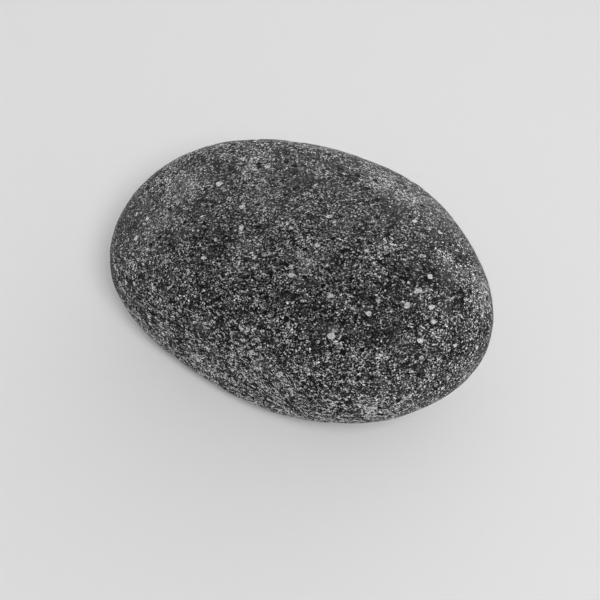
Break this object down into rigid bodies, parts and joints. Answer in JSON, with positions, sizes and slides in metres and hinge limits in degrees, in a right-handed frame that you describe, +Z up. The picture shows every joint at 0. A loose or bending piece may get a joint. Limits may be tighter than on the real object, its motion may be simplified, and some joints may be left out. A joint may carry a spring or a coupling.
{
  "type": "river pebble",
  "caption": "Smooth oval water-worn pebble of dark speckled rock, with broad worn flats and rounded shoulders, resting on a level flat under it.",
  "frame": {"origin": "Under the middle of the stone's box, on the surface that it rests on.", "axes": "+X along the stone's length, +Y across its width, +Z up through its thickness."},
  "size_m": [0.0936, 0.0624, 0.0401],
  "materials": {
    "stone": "matte"
  },
  "bodies": {
    "root": {"pebble": "stone"}
  },
  "joints": []
}
